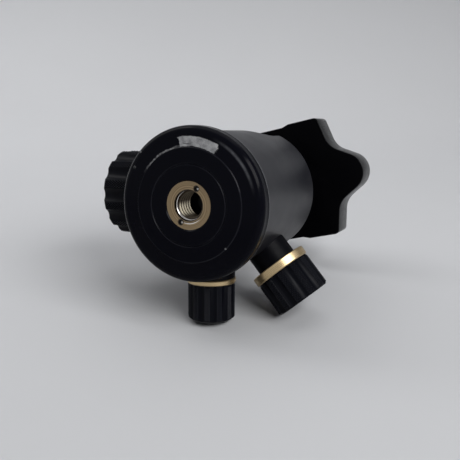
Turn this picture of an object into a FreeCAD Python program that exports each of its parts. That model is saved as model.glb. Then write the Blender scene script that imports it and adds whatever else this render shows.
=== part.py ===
"""Tripod ball head, made from named sizes. It is run in the folder that gets parts/.

Frame: +Z is the pan axis, from the tripod end to the camera end. The origin is the centre of the
base's flat face. The main lock knob points along +X and the pan lock knob along -Y.
Sizes are millimetres and degrees. Each is a cell of the spreadsheet "Sizes", and what fits
something else is worked out from those cells.
"""
import FreeCAD, Part
import os
import re

import Sketcher

App = FreeCAD
Z_AXIS = App.Vector(0, 0, 1)
Y_AXIS = App.Vector(0, 1, 0)
OVERRUN = 1.0

# Every alias has an underscore, which is how bound() tells it from a function's name.
SIZES = {
    # base plate
    "base_overhang": 1.6,
    "base_height": 6.4,
    "base_shoulder": 2.3,
    "base_lip": 0.75,
    "base_back_round": 0.3,
    "face_radius": 17.95,
    "face_step": 0.25,
    "ring_groove_radius": 12.85,
    "ring_groove_width": 0.6,
    "ring_groove_depth": 0.35,
    "bore_chamfer": 0.35,
    # spindle that the housing pans on, and the disc that keeps it there
    "spindle_radius": 14.0,
    "spindle_top_rise": 5.3,
    "brake_groove_depth": 1.4,
    "brake_groove_mouth": 3.4,
    "brake_groove_floor": 2.2,
    "retaining_screw_radius": 2.5,
    "retaining_head_radius": 4.2,
    "retaining_head_height": 2.4,
    "retaining_socket_radius": 1.5,
    "retaining_socket_depth": 1.5,
    "disc_overhang": 2.6,
    "disc_thickness": 1.6,
    # thread insert, 3/8 inch with 16 turns to the inch
    "insert_radius": 7.62,
    "insert_recess": 0.4,
    "insert_length": 11.1,
    "insert_end_gap": 0.3,
    "tripod_thread_radius": 3.97,
    "counterbore_radius": 4.95,
    "counterbore_depth": 0.9,
    "counterbore_floor": 0.25,
    "thread_chamfer": 0.7,
    "spanner_circle_radius": 6.0,
    "spanner_hole_radius": 0.78,
    "spanner_hole_depth": 2.0,
    "spanner_angle": 117.0,
    # pan bearing
    "pan_gap": 0.35,
    "pan_clearance": 0.06,
    "running_gap": 0.02,
    "washer_bore_gap": 0.2,
    "washer_inset": 2.0,
    "upper_washer_thickness": 0.7,
    # housing
    "housing_wall": 3.32,
    "housing_rim": 0.5,
    "housing_edge": 0.4,
    "disc_clearance": 0.4,
    "cavity_clearance": 1.1,
    "ring_ledge": 1.15,
    "boss_root_depth": 3.0,
    "notch_radius": 9.3,
    # ball and what holds it
    "ball_radius": 17.5,
    "ball_gap": 0.3,
    "ball_dip": 3.9,
    "seat_fit": 0.15,
    "lift_ring_drop": 4.95,
    "lift_ring_rise": 4.5,
    "lift_ring_clearance": 0.587,
    "lower_seat_drop": 5.5,
    "collar_rise": 2.9,
    "retaining_ring_thickness": 3.5,
    "retaining_ring_lap": 0.15,
    "spring_inset": 1.4,
    "spring_room": 2.35,
    "spring_rise": 1.65,
    "spring_thickness": 0.6,
    "key_slot_width": 2.6,
    "key_slot_depth": 1.4,
    # pan lock, pointing along -Y
    "pan_axis_rise": 10.7,
    "pan_boss_radius": 8.0,
    "pan_boss_rise": 2.53,
    "pan_ring_radius": 8.3,
    "pan_ring_gap": 0.2,
    "pan_ring_width": 1.7,
    "pan_grip_radius": 8.0,
    "pan_grip_length": 13.5,
    "pan_screw_radius": 3.0,
    "pan_shoe_gap": 0.8,
    "pan_shoe_length": 3.4,
    "pan_shoe_taper": 1.2,
    "pan_shoe_tip_radius": 1.9,
    # main lock, pointing along +X
    "main_axis_rise": 9.5,
    "main_boss_radius": 9.5,
    "main_boss_rise": 4.13,
    "main_ring_radius": 12.5,
    "main_ring_gap": 0.2,
    "main_ring_width": 2.0,
    "main_knob_radius": 15.45,
    "main_knob_length": 13.7,
    "main_screw_radius": 5.0,
    "main_spigot_radius": 3.5,
    "main_spigot_depth": 3.0,
    "main_plunger_radius": 3.2,
    "main_cap_radius": 9.0,
    "main_cap_thickness": 1.2,
    "main_cap_gap": 0.1,
    "main_cap_crown": 0.3,
    "main_fixing_radius": 1.5,
    "main_fixing_depth": 2.0,
    "main_fixing_gap": 1.0,
    "fixing_head_radius": 2.85,
    "fixing_head_room": 1.4,
    # friction knob
    "friction_axis_drop": 0.9,
    "friction_angle": 230.06,
    "friction_boss_radius": 7.15,
    "friction_boss_rise": 5.63,
    "friction_ring_radius": 10.24,
    "friction_ring_gap": 0.24,
    "friction_ring_width": 3.0,
    "friction_grip_radius": 9.95,
    "friction_grip_length": 12.3,
    "friction_screw_radius": 3.5,
    "friction_plunger_radius": 2.6,
    # what the plungers and the knobs share
    "plunger_stand_off": 0.4,
    "plunger_stand_out": 1.7,
    "plunger_tip_length": 2.4,
    "plunger_tip_radius": 1.6,
    "hole_clearance": 0.2,
    "screw_clearance": 0.06,
    "screw_end_gap": 0.2,
    "screw_cover": 3.0,
    "press_gap": 0.03,
    "sleeve_gap": 0.05,
    "ring_edge": 0.25,
    "flute_count": 12,
    "main_flute_width": 5.3,
    "main_flute_depth": 1.3,
    "friction_flute_width": 2.7,
    "friction_flute_depth": 0.55,
    "pan_flute_width": 2.2,
    "pan_flute_depth": 0.4,
    "grip_edge": 0.5,
    "pan_grip_edge": 1.5,
    # stem and camera platform
    "stem_rise": 6.7,
    "stem_root_depth": 3.0,
    "stem_foot_drop": 0.4,
    "stem_foot_rise": 1.2,
    "stem_waist_radius": 6.0,
    "stem_foot_radius": 7.2,
    "stem_head_radius": 9.0,
    "stem_head_height": 2.6,
    "stem_head_taper": 0.8,
    "stem_floor": 0.6,
    "platform_thickness": 12.6,
    "platform_width": 46.9,
    "platform_turn": -13.0,
    "corner_reach": 24.2,
    "corner_radius": 2.0,
    "neck_reach": 27.0,
    "neck_half_width": 11.2,
    "neck_radius": 8.2,
    "tongue_apex": 45.8,
    "tongue_radius": 7.65,
    "relief_length": 24.0,
    "relief_slope": 2.8,
    "side_relief": 0.85,
    "platform_washer_thickness": 0.4,
    "washer_edge": 0.3,
    "pad_inset": 1.6,
    "pad_corner": 4.0,
    "pad_sink": 0.6,
    "pad_gap": 0.1,
    "pad_thickness": 1.8,
    "pad_window": 1.2,
    "face_gap": 0.01,
    # camera stud, 1/4 inch
    "stud_radius": 3.17,
    "stud_length": 5.0,
    "stud_chamfer": 0.5,
    "stud_body_radius": 4.0,
    "stud_flange_radius": 8.0,
    "stud_flange_thickness": 2.0,
    "stud_bottom_gap": 0.8,
}

# Sizes and places that follow from the values above, so that what fits together stays together.
DERIVED = {
    "pan_axis_height": "base_height + pan_axis_rise",
    "spindle_top": "pan_axis_height + spindle_top_rise",
    "main_axis_height": "spindle_top + main_axis_rise",
    "friction_axis_height": "main_axis_height - friction_axis_drop",
    "brake_groove_radius": "spindle_radius - brake_groove_depth",
    "disc_radius": "spindle_radius + disc_overhang",
    "disc_room_radius": "disc_radius + disc_clearance",
    "lift_ring_bottom": "main_axis_height - lift_ring_drop",
    "lift_ring_top": "main_axis_height + lift_ring_rise",
    "lift_ring_bore": "sqrt(ball_radius ^ 2 - (ball_radius - ball_dip) ^ 2) + lift_ring_clearance",
    "spring_inner_radius": "lift_ring_bore + spring_inset",
    "cavity_floor": "lift_ring_bottom - spring_room",
    "cavity_radius": "ball_radius + cavity_clearance",
    "ball_height": "lift_ring_top + ball_radius - ball_dip",
    "ball_top": "ball_height + ball_radius",
    "lower_seat_top": "ball_height - lower_seat_drop",
    "ring_bore_radius": "cavity_radius + ring_ledge",
    "ring_seat_height": "ball_height",
    "collar_top": "ball_height + collar_rise",
    "retaining_ring_bore": "ball_radius - retaining_ring_lap",
    "retaining_ring_top": "collar_top + retaining_ring_thickness",
    "housing_height": "retaining_ring_top + housing_rim",
    "housing_radius": "ring_bore_radius + housing_wall",
    "washer_outer_radius": "housing_radius - washer_inset",
    "base_radius": "housing_radius + base_overhang",
    "pan_shoe_tip": "brake_groove_radius + pan_shoe_gap",
    "pan_shoe_end": "pan_shoe_tip + pan_shoe_length",
    "plunger_tip_start": "lift_ring_bore + plunger_stand_off",
    "plunger_end": "cavity_radius + plunger_stand_out",
    "main_boss_end": "housing_radius + main_boss_rise",
    "main_ring_start": "main_boss_end + main_ring_gap",
    "main_ring_end": "main_ring_start + main_ring_width",
    "main_knob_end": "main_ring_end + main_knob_length",
    "pan_boss_end": "housing_radius + pan_boss_rise",
    "pan_ring_start": "pan_boss_end + pan_ring_gap",
    "pan_ring_end": "pan_ring_start + pan_ring_width",
    "pan_grip_end": "pan_ring_end + pan_grip_length",
    "friction_boss_end": "housing_radius + friction_boss_rise",
    "friction_ring_start": "friction_boss_end + friction_ring_gap",
    "friction_ring_end": "friction_ring_start + friction_ring_width",
    "friction_grip_end": "friction_ring_end + friction_grip_length",
    "platform_bottom": "ball_top + stem_rise",
    "pad_seat": "platform_bottom + platform_thickness - pad_sink",
}

doc = App.newDocument("ball_head")
sheet = doc.addObject("Spreadsheet::Sheet", "Sizes")
for row, (alias, value) in enumerate(SIZES.items(), start=1):
    sheet.set(f"A{row}", alias)
    sheet.set(f"B{row}", str(value))
    sheet.setAlias(f"B{row}", alias)
doc.recompute()
pieces = []


def bound(text):
    """The expression in terms of the sheet's cells: each derived size is written out."""
    def written_out(match):
        name = match.group(0)
        return f"({bound(DERIVED[name])})" if name in DERIVED else "Sizes." + name

    return re.sub(r"\b[a-z]+(?:_[a-z]+)+\b", written_out, str(text))


def number(text):
    """The expression's value now."""
    value = sheet.evalExpression(bound(text))
    return float(getattr(value, "Value", value))


def bind(thing, prop, text):
    """Sets a property to an expression of the sheet's sizes."""
    thing.setExpression(prop, bound(text))


def new_body(label):
    body = doc.addObject("PartDesign::Body", label)
    body.Label = label
    pieces.append(body)
    return body


def new_sketch(body, role, lift=None):
    """A sketch on one of the body's own origin planes, raised by an expression if one is given."""
    sketch = body.newObject("Sketcher::SketchObject", body.Name + "_sketch")
    plane = next(f for f in body.Origin.OriginFeatures if f.Role == role)
    sketch.AttachmentSupport = (plane, [""])
    sketch.MapMode = "FlatFace"
    if lift is not None:
        bind(sketch, "AttachmentOffset.Base.z", lift)
    return sketch


def fix_point(sketch, geo, end, across, up):
    """Holds a point of the sketch at two expressions, measured from the origin."""
    for kind, text, axis in (("DistanceX", across, -2), ("DistanceY", up, -1)):
        if text == "0":
            sketch.addConstraint(Sketcher.Constraint("PointOnObject", geo, end, axis))
            continue
        index = sketch.addConstraint(Sketcher.Constraint(kind, -1, 1, geo, end, number(text)))
        bind(sketch, f"Constraints[{index}]", text)


def draw_polygon(sketch, points):
    """A closed outline of straight lines through points given as pairs of expressions."""
    places = [App.Vector(number(a), number(b), 0) for a, b in points]
    first = sketch.GeometryCount
    count = len(points)
    for i in range(count):
        sketch.addGeometry(Part.LineSegment(places[i], places[(i + 1) % count]), False)
    for i in range(count):
        following = first + (i + 1) % count
        sketch.addConstraint(Sketcher.Constraint("Coincident", first + i, 2, following, 1))
        fix_point(sketch, first + i, 1, *points[i])


def draw_circle(sketch, across, up, radius):
    centre = App.Vector(number(across), number(up), 0)
    geo = sketch.addGeometry(Part.Circle(centre, Z_AXIS, number(radius)), False)
    index = sketch.addConstraint(Sketcher.Constraint("Radius", geo, number(radius)))
    bind(sketch, f"Constraints[{index}]", radius)
    fix_point(sketch, geo, 3, across, up)


def turned(label, points):
    """A body turned about its own Z axis from an outline of (radius, height) pairs."""
    body = new_body(label)
    sketch = new_sketch(body, "XZ_Plane")
    draw_polygon(sketch, points)
    turn = body.newObject("PartDesign::Revolution", label + "_turn")
    turn.Profile = sketch
    turn.ReferenceAxis = (sketch, ["V_Axis"])
    turn.Angle = 360
    doc.recompute()
    return body


def cylinder(body, kind, name, radius, length, lift="0", angle="0", start=None):
    """An additive or subtractive cylinder: upright, or lying at an angle when start is given."""
    feature = body.newObject("PartDesign::" + kind, name)
    bind(feature, "Radius", radius)
    bind(feature, "Height", length)
    if start is None:
        bind(feature, "Placement.Base.z", lift)
        return feature
    feature.Placement = App.Placement(App.Vector(), lying(number(angle)))
    bind(feature, "Placement.Base.x", f"({start}) * cos(({angle}) * 1 deg)")
    bind(feature, "Placement.Base.y", f"({start}) * sin(({angle}) * 1 deg)")
    bind(feature, "Placement.Base.z", lift)
    return feature


def lying(angle):
    """The rotation that lays the Z axis down along a direction at this angle from +X."""
    return App.Rotation(Z_AXIS, angle).multiply(App.Rotation(Y_AXIS, 90))


def lay_down(body, angle, axis_height):
    """Places a body that was made upright on a knob's axis."""
    body.Placement = App.Placement(App.Vector(), lying(angle))
    bind(body, "Placement.Base.z", axis_height)


def round_edges(body, kind, size, radii_heights):
    """A fillet or chamfer on the circular edges about Z with these radii and heights."""
    doc.recompute()
    base = body.Tip
    wanted = [(number(r), number(z)) for r, z in radii_heights]
    names = []
    for index, edge in enumerate(base.Shape.Edges, start=1):
        curve = edge.Curve
        if not isinstance(curve, Part.Circle) or curve.Center.x ** 2 + curve.Center.y ** 2 > 1e-6:
            continue
        if any(abs(curve.Radius - r) < 1e-3 and abs(curve.Center.z - z) < 1e-3 for r, z in wanted):
            names.append(f"Edge{index}")
    if not names:
        raise RuntimeError(f"no edge to round on {body.Label}")
    feature = body.newObject("PartDesign::" + kind, f"{body.Name}_{kind}")
    feature.Base = (base, names)
    bind(feature, "Radius" if kind == "Fillet" else "Size", size)
    doc.recompute()
    return feature


def round_pocket(body, across, up, radius, start, depth, name):
    """A round hole or flute along Z, cut upwards from a height for a depth."""
    doc.recompute()
    before = body.Shape.Volume
    sketch = new_sketch(body, "XY_Plane", start)
    draw_circle(sketch, across, up, radius)
    pocket = body.newObject("PartDesign::Pocket", name)
    pocket.Profile = sketch
    pocket.Type = "Length"
    bind(pocket, "Length", depth)
    pocket.Reversed = True
    doc.recompute()
    if body.Shape.Volume >= before:
        raise RuntimeError(f"{name} cuts nothing from {body.Label}")
    return pocket


def around(body, feature, count, name):
    """Repeats a feature evenly round the body's Z axis."""
    pattern = body.newObject("PartDesign::PolarPattern", name)
    pattern.Originals = [feature]
    pattern.Axis = (next(f for f in body.Origin.OriginFeatures if f.Role == "Z_Axis"), [""])
    pattern.Angle = 360
    bind(pattern, "Occurrences", count)
    body.Tip = pattern
    doc.recompute()
    return pattern


def flute_knob(body, outer, width, depth, start, length):
    """Cuts the flutes: round grooves whose mouth and depth are given."""
    radius = f"((({width}) / 2) ^ 2 + ({depth}) ^ 2) / (2 * ({depth}))"
    across = f"{outer} + {radius} - ({depth})"
    flute = round_pocket(body, across, "0", radius, start, length, body.Name + "_flute")
    around(body, flute, "flute_count", body.Name + "_flutes")


def ball_hollow(body):
    """Cuts the room of the ball, with its gap, out of a turned ring."""
    cut = body.newObject("PartDesign::SubtractiveSphere", body.Name + "_hollow")
    bind(cut, "Radius", "ball_radius + ball_gap")
    bind(cut, "Placement.Base.z", "ball_height")
    doc.recompute()


def portrait_notch(body):
    """Cuts the slot opposite the pan knob, where the stem lies when the camera stands upright."""
    start = "ball_radius / 2"
    length = f"housing_radius + {OVERRUN} - ({start})"
    cylinder(body, "SubtractiveCylinder", body.Name + "_notch_floor", "notch_radius", length,
             "ball_height", "90", start)
    mouth = body.newObject("PartDesign::SubtractiveBox", body.Name + "_notch_mouth")
    bind(mouth, "Length", "2 * notch_radius")
    bind(mouth, "Width", length)
    bind(mouth, "Height", f"housing_height - ball_height + {OVERRUN}")
    bind(mouth, "Placement.Base.x", "-1 * notch_radius")
    bind(mouth, "Placement.Base.y", start)
    bind(mouth, "Placement.Base.z", "ball_height")
    doc.recompute()


def make_base_plate():
    body = turned("base_plate", [
        ("insert_radius + press_gap", "bore_chamfer"),
        ("insert_radius + press_gap + bore_chamfer", "0"),
        ("ring_groove_radius - ring_groove_width / 2", "0"),
        ("ring_groove_radius", "ring_groove_depth"),
        ("ring_groove_radius + ring_groove_width / 2", "0"),
        ("face_radius", "0"),
        ("face_radius + face_step", "face_step"),
        ("base_radius", "base_lip"),
        ("base_radius", "base_height"),
        ("spindle_radius", "base_height"),
        ("spindle_radius", "pan_axis_height - brake_groove_mouth"),
        ("brake_groove_radius", "pan_axis_height - brake_groove_floor"),
        ("brake_groove_radius", "pan_axis_height + brake_groove_floor"),
        ("spindle_radius", "pan_axis_height + brake_groove_mouth"),
        ("spindle_radius", "spindle_top"),
        ("retaining_screw_radius + press_gap", "spindle_top"),
        ("retaining_screw_radius + press_gap", "insert_recess + insert_length + insert_end_gap"),
        ("insert_radius + press_gap", "insert_recess + insert_length + insert_end_gap"),
    ])
    round_edges(body, "Fillet", "base_shoulder", [("base_radius", "base_lip")])
    round_edges(body, "Fillet", "base_back_round", [("base_radius", "base_height")])


def make_thread_insert():
    top = "insert_recess + insert_length"
    body = turned("thread_insert", [
        ("counterbore_radius", "insert_recess"),
        ("insert_radius", "insert_recess"),
        ("insert_radius", top),
        ("tripod_thread_radius", top),
        ("tripod_thread_radius", "insert_recess + counterbore_depth + thread_chamfer"),
        ("counterbore_radius - counterbore_floor", "insert_recess + counterbore_depth"),
        ("counterbore_radius", "insert_recess + counterbore_depth"),
    ])
    hole = round_pocket(
        body,
        "spanner_circle_radius * cos(spanner_angle * 1 deg)",
        "spanner_circle_radius * sin(spanner_angle * 1 deg)",
        "spanner_hole_radius", "insert_recess", "spanner_hole_depth", "spanner_hole",
    )
    around(body, hole, "2", "spanner_holes")


def make_pan_bearing():
    inner = "spindle_radius + washer_bore_gap"
    turned("pan_bearing_washer", [
        (inner, "base_height"),
        ("washer_outer_radius", "base_height"),
        ("washer_outer_radius", "base_height + pan_gap"),
        (inner, "base_height + pan_gap"),
    ])
    low = "spindle_top - upper_washer_thickness"
    turned("pan_upper_washer", [
        (inner, low),
        ("disc_radius", low),
        ("disc_radius", "spindle_top"),
        (inner, "spindle_top"),
    ])
    bore = "retaining_screw_radius + sleeve_gap"
    high = "spindle_top + disc_thickness"
    turned("pan_retaining_disc", [
        (bore, "spindle_top"),
        ("disc_radius", "spindle_top"),
        ("disc_radius", high),
        (bore, high),
    ])
    head_top = f"{high} + retaining_head_height"
    socket_floor = f"{head_top} - retaining_socket_depth"
    turned("pan_retaining_screw", [
        ("0", "insert_recess + insert_length + 2 * insert_end_gap"),
        ("retaining_screw_radius", "insert_recess + insert_length + 2 * insert_end_gap"),
        ("retaining_screw_radius", high),
        ("retaining_head_radius", high),
        ("retaining_head_radius", head_top),
        ("retaining_socket_radius", head_top),
        ("retaining_socket_radius", socket_floor),
        ("0", socket_floor),
    ])


def make_housing():
    bottom = "base_height + pan_gap + running_gap"
    ledge = "spindle_top - upper_washer_thickness - running_gap"
    bore = "spindle_radius + pan_clearance"
    body = turned("housing", [
        (bore, bottom),
        ("housing_radius - housing_edge", bottom),
        ("housing_radius", bottom + " + housing_edge"),
        ("housing_radius", "housing_height - housing_edge"),
        ("housing_radius - housing_edge", "housing_height"),
        ("ring_bore_radius", "housing_height"),
        ("ring_bore_radius", "ring_seat_height"),
        ("cavity_radius", "ring_seat_height"),
        ("cavity_radius", "cavity_floor"),
        ("disc_room_radius", "cavity_floor"),
        ("disc_room_radius", ledge),
        (bore, ledge),
    ])
    root = "housing_radius - boss_root_depth"
    for name, angle in (("pan", "-90"), ("main", "0"), ("friction", "friction_angle")):
        cylinder(body, "AdditiveCylinder", name + "_boss", f"{name}_boss_radius",
                 f"{name}_boss_end - ({root})", f"{name}_axis_height", angle, root)
    # Each cut starts inside the hollow and ends outside the metal, by this much.
    for name, angle, start in (
        ("pan", "-90", f"spindle_radius - {OVERRUN}"),
        ("main", "0", f"cavity_radius - {OVERRUN}"),
        ("friction", "friction_angle", f"cavity_radius - {OVERRUN}"),
    ):
        cylinder(body, "SubtractiveCylinder", name + "_bore", f"{name}_screw_radius + screw_clearance",
                 f"{name}_boss_end + {OVERRUN} - ({start})", f"{name}_axis_height", angle, start)
    portrait_notch(body)


def make_ball_seats():
    outer = "cavity_radius - seat_fit"
    base = "cavity_floor + running_gap"
    turned("seat_spring", [
        (outer, base),
        (outer, base + " + spring_thickness"),
        ("spring_inner_radius", base + " + spring_rise + spring_thickness"),
        ("spring_inner_radius", base + " + spring_rise"),
    ])
    ring = turned("lift_ring", [
        ("lift_ring_bore", "lift_ring_bottom"),
        (outer, "lift_ring_bottom"),
        (outer, "lift_ring_top"),
        ("lift_ring_bore", "lift_ring_top"),
    ])
    start = f"lift_ring_bore - 2 * {OVERRUN}"
    for name, angle in (("main", "0"), ("friction", "friction_angle")):
        cylinder(ring, "SubtractiveCylinder", f"{name}_plunger_hole",
                 f"{name}_plunger_radius + hole_clearance", f"cavity_radius + {OVERRUN} - ({start})",
                 f"{name}_axis_height", angle, start)
    doc.recompute()
    seat = turned("lower_ball_seat", [
        ("lift_ring_bore", "lift_ring_top + running_gap"),
        (outer, "lift_ring_top + running_gap"),
        (outer, "lower_seat_top"),
        ("lift_ring_bore", "lower_seat_top"),
    ])
    ball_hollow(seat)
    portrait_notch(seat)
    ring_outer = "ring_bore_radius - seat_fit"
    collar = turned("upper_ball_collar", [
        ("retaining_ring_bore", "ring_seat_height + running_gap"),
        (ring_outer, "ring_seat_height + running_gap"),
        (ring_outer, "collar_top"),
        ("retaining_ring_bore", "collar_top"),
    ])
    ball_hollow(collar)
    portrait_notch(collar)
    keeper = turned("ball_retaining_ring", [
        ("retaining_ring_bore", "collar_top + running_gap"),
        (ring_outer, "collar_top + running_gap"),
        (ring_outer, "retaining_ring_top"),
        ("retaining_ring_bore", "retaining_ring_top"),
    ])
    slot = round_pocket(keeper, ring_outer, "0", "key_slot_width / 2", "retaining_ring_top - key_slot_depth",
                        f"key_slot_depth + {OVERRUN}", "key_slot")
    around(keeper, slot, "4", "key_slots")
    portrait_notch(keeper)


def make_plunger(name, angle):
    """The pin that a lock screw pushes under the lift ring."""
    body = turned(f"{name}_plunger", [
        ("0", "plunger_tip_start"),
        ("plunger_tip_radius", "plunger_tip_start"),
        (f"{name}_plunger_radius", "plunger_tip_start + plunger_tip_length"),
        (f"{name}_plunger_radius", "plunger_end"),
        ("0", "plunger_end"),
    ])
    lay_down(body, angle, f"{name}_axis_height")


def make_trim_ring(name, angle, bore):
    """The gold ring between a knob's grip and its boss."""
    body = turned(f"{name}_ring", [
        (bore, f"{name}_ring_start"),
        (f"{name}_ring_radius - ring_edge", f"{name}_ring_start"),
        (f"{name}_ring_radius", f"{name}_ring_start + ring_edge"),
        (f"{name}_ring_radius", f"{name}_ring_end - ring_edge"),
        (f"{name}_ring_radius - ring_edge", f"{name}_ring_end"),
        (bore, f"{name}_ring_end"),
    ])
    lay_down(body, angle, f"{name}_axis_height")


def make_pan_lock():
    angle = -90
    shoe = turned("pan_brake_shoe", [
        ("0", "pan_shoe_tip"),
        ("pan_shoe_tip_radius", "pan_shoe_tip"),
        ("pan_screw_radius", "pan_shoe_tip + pan_shoe_taper"),
        ("pan_screw_radius", "pan_shoe_end"),
        ("0", "pan_shoe_end"),
    ])
    lay_down(shoe, angle, "pan_axis_height")
    screw = turned("pan_lock_screw", [
        ("0", "pan_shoe_end + screw_end_gap"),
        ("pan_screw_radius", "pan_shoe_end + screw_end_gap"),
        ("pan_screw_radius", "pan_grip_end - screw_cover"),
        ("0", "pan_grip_end - screw_cover"),
    ])
    lay_down(screw, angle, "pan_axis_height")
    make_trim_ring("pan", angle, "pan_screw_radius + sleeve_gap")
    grip = turned("pan_lock_grip", [
        ("pan_screw_radius + sleeve_gap", "pan_ring_end"),
        ("pan_grip_radius", "pan_ring_end"),
        ("pan_grip_radius", "pan_grip_end - pan_grip_edge"),
        ("pan_grip_radius - pan_grip_edge", "pan_grip_end - pan_grip_edge / 4"),
        ("0", "pan_grip_end"),
        ("0", "pan_grip_end - screw_cover + sleeve_gap"),
        ("pan_screw_radius + sleeve_gap", "pan_grip_end - screw_cover + sleeve_gap"),
    ])
    flute_knob(grip, "pan_grip_radius", "pan_flute_width", "pan_flute_depth",
               "pan_ring_end", "pan_grip_length")
    lay_down(grip, angle, "pan_axis_height")


def make_main_lock():
    angle = 0
    make_plunger("main", angle)
    screw_start = "plunger_end + screw_end_gap"
    recess = "main_knob_end - main_cap_thickness"
    head_seat = recess + " - fixing_head_room"
    screw = turned("main_lock_screw", [
        ("0", screw_start),
        ("main_screw_radius", screw_start),
        ("main_screw_radius", "main_ring_end"),
        ("main_spigot_radius", "main_ring_end"),
        ("main_spigot_radius", recess + " - main_spigot_depth"),
        ("main_fixing_radius + press_gap", recess + " - main_spigot_depth"),
        ("main_fixing_radius + press_gap", "main_ring_end + main_fixing_depth"),
        ("0", "main_ring_end + main_fixing_depth"),
    ])
    lay_down(screw, angle, "main_axis_height")
    make_trim_ring("main", angle, "main_screw_radius + sleeve_gap")
    knob = turned("main_lock_knob", [
        ("main_spigot_radius + sleeve_gap", "main_ring_end"),
        ("main_knob_radius - grip_edge", "main_ring_end"),
        ("main_knob_radius", "main_ring_end + grip_edge"),
        ("main_knob_radius", "main_knob_end - grip_edge"),
        ("main_knob_radius - grip_edge", "main_knob_end"),
        ("main_cap_radius + main_cap_gap", "main_knob_end"),
        ("main_cap_radius + main_cap_gap", head_seat),
        ("main_fixing_radius + hole_clearance", head_seat),
        ("main_fixing_radius + hole_clearance", recess + " - main_spigot_depth + sleeve_gap"),
        ("main_spigot_radius + sleeve_gap", recess + " - main_spigot_depth + sleeve_gap"),
    ])
    flute_knob(knob, "main_knob_radius", "main_flute_width", "main_flute_depth",
               "main_ring_end", "main_knob_length")
    lay_down(knob, angle, "main_axis_height")
    fixing = turned("main_fixing_screw", [
        ("0", "main_ring_end + main_fixing_depth + main_fixing_gap"),
        ("main_fixing_radius", "main_ring_end + main_fixing_depth + main_fixing_gap"),
        ("main_fixing_radius", head_seat),
        ("fixing_head_radius", head_seat),
        ("fixing_head_radius", recess + " - main_cap_gap"),
        ("0", recess + " - main_cap_gap"),
    ])
    lay_down(fixing, angle, "main_axis_height")
    cap = turned("main_lock_cap", [
        ("0", recess),
        ("main_cap_radius", recess),
        ("main_cap_radius", "main_knob_end - main_cap_crown"),
        ("main_cap_radius - main_cap_crown", "main_knob_end"),
        ("0", "main_knob_end + main_cap_crown"),
    ])
    lay_down(cap, angle, "main_axis_height")


def make_friction_lock():
    angle = number("friction_angle")
    make_plunger("friction", angle)
    screw_start = "plunger_end + screw_end_gap"
    screw = turned("friction_screw", [
        ("0", screw_start),
        ("friction_screw_radius", screw_start),
        ("friction_screw_radius", "friction_grip_end - screw_cover"),
        ("0", "friction_grip_end - screw_cover"),
    ])
    lay_down(screw, angle, "friction_axis_height")
    make_trim_ring("friction", angle, "friction_screw_radius + sleeve_gap")
    grip = turned("friction_grip", [
        ("friction_screw_radius + sleeve_gap", "friction_ring_end"),
        ("friction_grip_radius", "friction_ring_end"),
        ("friction_grip_radius", "friction_grip_end - grip_edge"),
        ("friction_grip_radius - grip_edge", "friction_grip_end"),
        ("0", "friction_grip_end"),
        ("0", "friction_grip_end - screw_cover + sleeve_gap"),
        ("friction_screw_radius + sleeve_gap", "friction_grip_end - screw_cover + sleeve_gap"),
    ])
    flute_knob(grip, "friction_grip_radius", "friction_flute_width", "friction_flute_depth",
               "friction_ring_end", "friction_grip_length")
    lay_down(grip, angle, "friction_axis_height")


def make_ball():
    ball = doc.addObject("Part::Sphere", "ball")
    ball.Label = "ball"
    bind(ball, "Radius", "ball_radius")
    bind(ball, "Placement.Base.z", "ball_height")
    pieces.append(ball)


def make_stem():
    top = "platform_bottom - platform_washer_thickness"
    bore = "stud_body_radius + screw_clearance"
    body = turned("stem", [
        ("0", "ball_top - stem_root_depth"),
        ("stem_foot_radius", "ball_top - stem_root_depth"),
        ("stem_foot_radius", "ball_top - stem_foot_drop"),
        ("stem_waist_radius", "ball_top + stem_foot_rise"),
        ("stem_waist_radius", top + " - stem_head_height - stem_head_taper"),
        ("stem_head_radius", top + " - stem_head_height"),
        ("stem_head_radius", top),
        (bore, top),
        (bore, "ball_top + ball_gap + stem_floor"),
        ("0", "ball_top + ball_gap + stem_floor"),
    ])
    ball_hollow(body)


def seat_on_stem(body):
    """Places a body that was made on Z = 0 at the platform's underside, turned like the platform."""
    body.Placement = App.Placement(App.Vector(), App.Rotation(Z_AXIS, number("platform_turn")))
    bind(body, "Placement.Base.z", "platform_bottom")


def round_uprights(body, radius, places):
    """A fillet on the upright edges that stand at these (x, y) places, and at their mirror images."""
    doc.recompute()
    base = body.Tip
    wanted = [(number(x), number(y)) for x, y in places]
    names = []
    for index, edge in enumerate(base.Shape.Edges, start=1):
        foot, head = edge.Vertexes[0].Point, edge.Vertexes[-1].Point
        if len(edge.Vertexes) < 2 or abs(foot.z - head.z) < 1e-3 or (foot - head).cross(Z_AXIS).Length > 1e-6:
            continue
        if any(abs(abs(foot.x) - x) < 1e-3 and abs(abs(foot.y) - y) < 1e-3 for x, y in wanted):
            names.append(f"Edge{index}")
    if not names:
        raise RuntimeError(f"no upright edge to round on {body.Label}")
    fillet = body.newObject("PartDesign::Fillet", body.Name + "_uprights")
    fillet.Base = (base, names)
    bind(fillet, "Radius", radius)
    doc.recompute()


def pad_room(body, kind, gap, bottom, height):
    """A block for the pad or for its recess, inset from the platform's sides."""
    half_x = f"(corner_reach - pad_inset + {gap})"
    half_y = f"(platform_width / 2 - pad_inset + {gap})"
    block = body.newObject("PartDesign::" + kind, body.Name + "_pad_room")
    bind(block, "Length", f"2 * {half_x}")
    bind(block, "Width", f"2 * {half_y}")
    bind(block, "Height", height)
    bind(block, "Placement.Base.x", f"-1 * {half_x}")
    bind(block, "Placement.Base.y", f"-1 * {half_y}")
    bind(block, "Placement.Base.z", bottom)
    round_uprights(body, "pad_corner", [(half_x, half_y)])


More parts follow.
